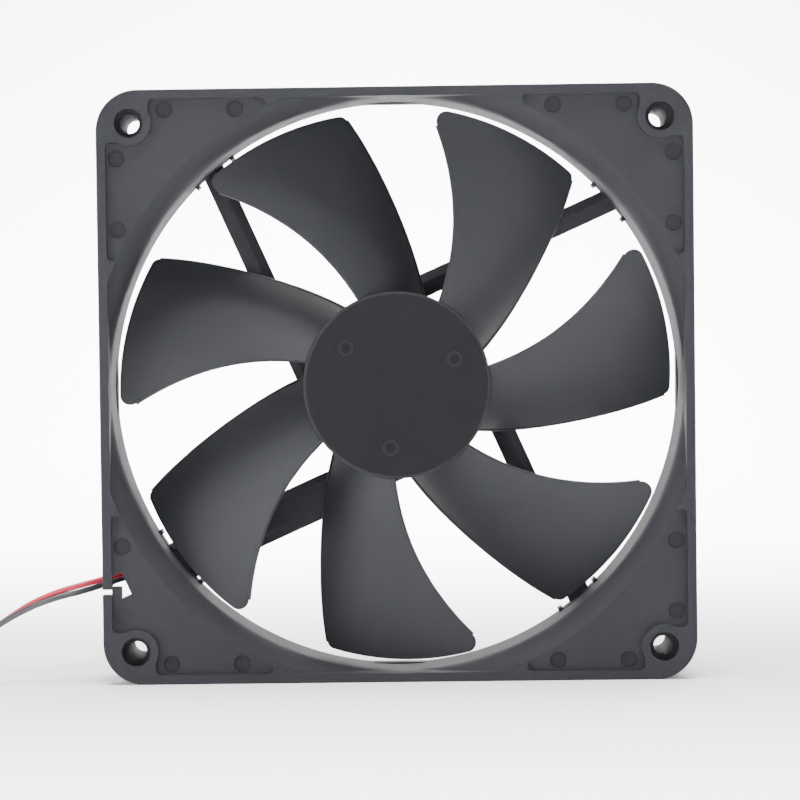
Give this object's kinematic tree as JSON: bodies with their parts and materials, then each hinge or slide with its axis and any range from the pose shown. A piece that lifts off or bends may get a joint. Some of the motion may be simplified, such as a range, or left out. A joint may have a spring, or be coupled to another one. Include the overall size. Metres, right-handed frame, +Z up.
{
  "type": "case fan",
  "caption": "Square axial cooling fan for a computer case, with swept blades, a hub motor on ball bearings, strutted rear and two leads to a small connector.",
  "frame": {"origin": "middle of the bottom edge of the frame, half way between its front and rear faces", "axes": "+Z up, with the fan standing on its bottom edge; -Y out of the front, where air goes in; the rotor turns about Y"},
  "size_m": [0.2061, 0.0287, 0.14],
  "materials": {
    "housing_plastic": "fine moulded texture",
    "impeller_plastic": "fine moulded texture",
    "plated_steel": "zinc plated",
    "magnet": "bonded ferrite, matte",
    "shaft_steel": "ground",
    "bearing_steel": "polished",
    "cage_steel": "pressed",
    "brass": "turned",
    "laminations": "stacked sheet steel",
    "insulator_plastic": "moulded",
    "copper_wire": "enamelled",
    "board": "solder mask",
    "chip_epoxy": "moulded epoxy",
    "component_mix": "ceramic and epoxy",
    "tinned_pins": "tinned",
    "label_film": "blank silver film",
    "red_insulation": "soft vinyl",
    "black_insulation": "soft vinyl",
    "tie_plastic": "coated",
    "connector_plastic": "moulded"
  },
  "bodies": {
    "frame": {"frame_housing": "housing_plastic", "bearing_tube": "brass", "front_outer_race": "bearing_steel", "rear_outer_race": "bearing_steel", "front_shields": "cage_steel", "rear_shields": "cage_steel", "stator_core": "laminations", "front_insulator": "insulator_plastic", "rear_insulator": "insulator_plastic", "coil_winding_1": "copper_wire", "coil_winding_2": "copper_wire", "coil_winding_3": "copper_wire", "coil_winding_4": "copper_wire", "circuit_board": "board", "driver_chip": "chip_epoxy", "board_components": "component_mix", "terminal_pins": "tinned_pins", "rear_label": "label_film", "red_lead_inner": "red_insulation", "black_lead_inner": "black_insulation", "red_lead_free": "red_insulation", "black_lead_free": "black_insulation", "red_lead_coil": "red_insulation", "black_lead_coil": "black_insulation", "red_lead_tail": "red_insulation", "black_lead_tail": "black_insulation", "lead_tie": "tie_plastic", "connector_housing": "connector_plastic", "connector_contacts": "tinned_pins"},
    "rotor": {"impeller": "impeller_plastic", "rotor_yoke": "plated_steel", "magnet_ring": "magnet", "shaft": "shaft_steel", "retaining_clip": "insulator_plastic", "preload_spring": "shaft_steel", "front_inner_race": "bearing_steel", "rear_inner_race": "bearing_steel"},
    "front_ball_set": {"front_balls": "bearing_steel", "front_cage": "cage_steel"},
    "rear_ball_set": {"rear_balls": "bearing_steel", "rear_cage": "cage_steel"}
  },
  "joints": [
    {"name": "rotor_spin", "type": "hinge", "parent": "frame", "child": "rotor", "pos_m": [0, 0, 0.07], "axis": [0, -1, 0], "continuous": true},
    {"name": "front_cage_spin", "type": "hinge", "parent": "frame", "child": "front_ball_set", "pos_m": [0, 0, 0.07], "axis": [0, -1, 0], "continuous": true},
    {"name": "rear_cage_spin", "type": "hinge", "parent": "frame", "child": "rear_ball_set", "pos_m": [0, 0, 0.07], "axis": [0, -1, 0], "continuous": true}
  ],
  "couplings": [
    {"joint": "front_cage_spin", "follows": "rotor_spin", "ratio": 0.3772},
    {"joint": "rear_cage_spin", "follows": "rotor_spin", "ratio": 0.3772}
  ]
}
